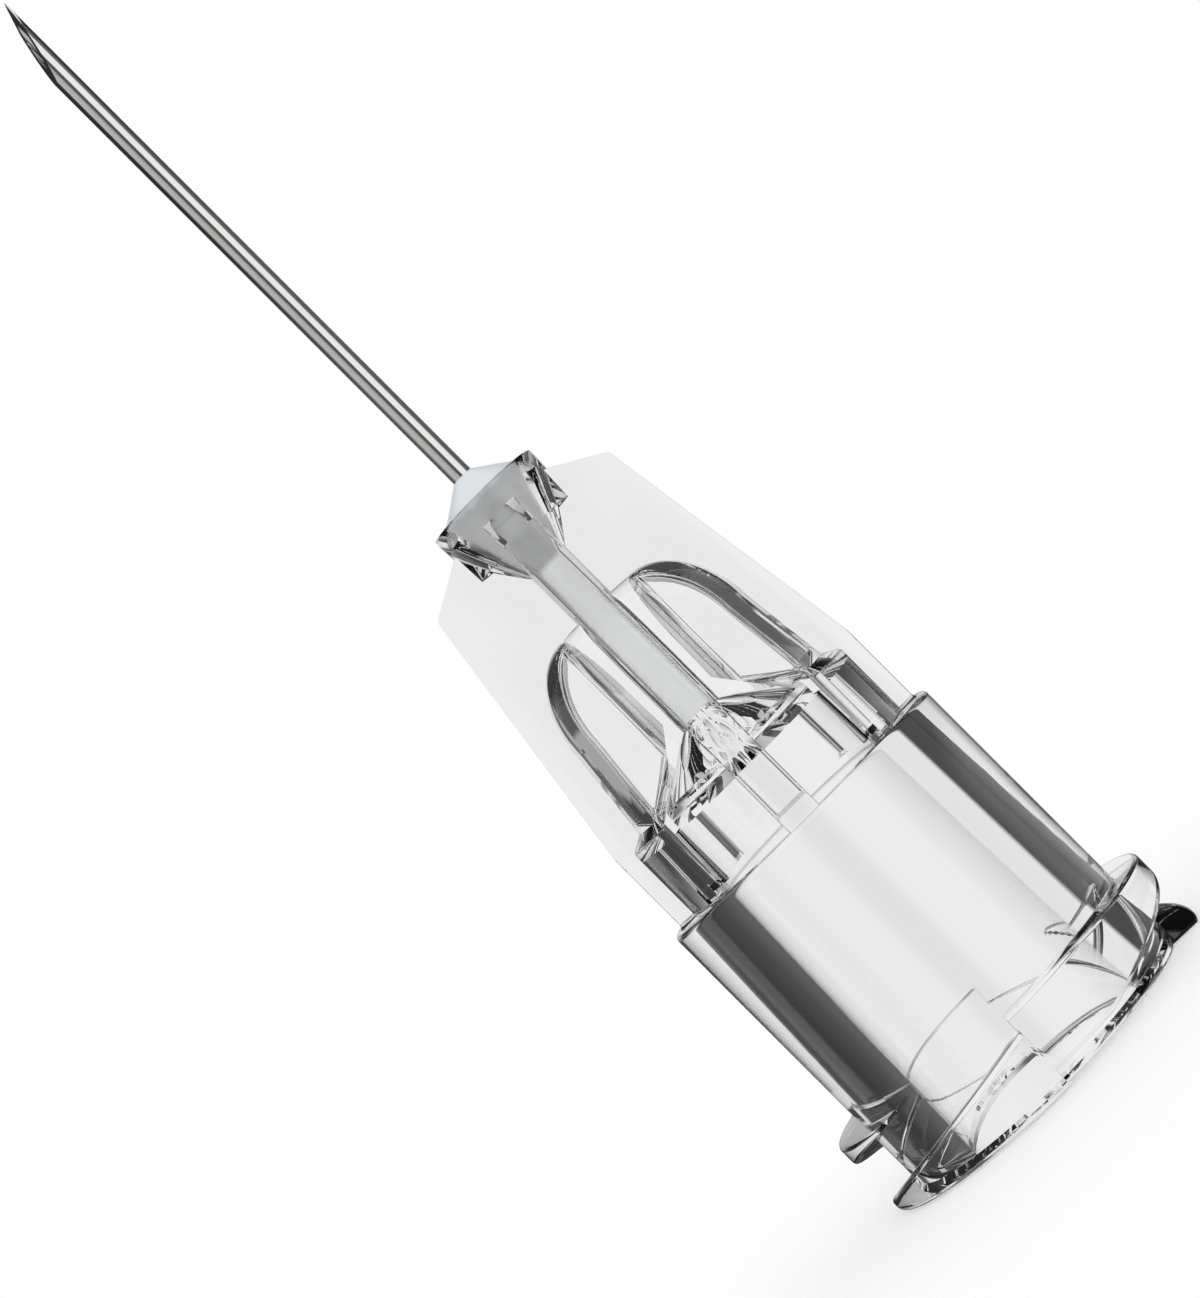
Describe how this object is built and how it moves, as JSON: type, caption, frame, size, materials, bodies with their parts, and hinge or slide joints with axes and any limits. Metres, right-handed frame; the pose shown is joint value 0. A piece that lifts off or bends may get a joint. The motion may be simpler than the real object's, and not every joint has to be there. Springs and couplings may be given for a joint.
{
  "type": "hypodermic needle",
  "caption": "Hypodermic needle with a clear finned Luer lock hub, a short bevelled steel cannula and a white glue joint.",
  "frame": {"origin": "centre of the hub's mouth, in the plane of its rim", "axes": "+Z along the cannula to its point, +X along one pair of fins, -Y the side the picture shows"},
  "size_m": [0.0078, 0.0078, 0.0278],
  "materials": {
    "clear_plastic": "clear moulded plastic, glossy",
    "steel": "drawn bright, ground at the point",
    "glue": "cured, smooth"
  },
  "bodies": {
    "root": {"hub": "clear_plastic", "cannula": "steel", "adhesive": "glue"}
  },
  "joints": []
}
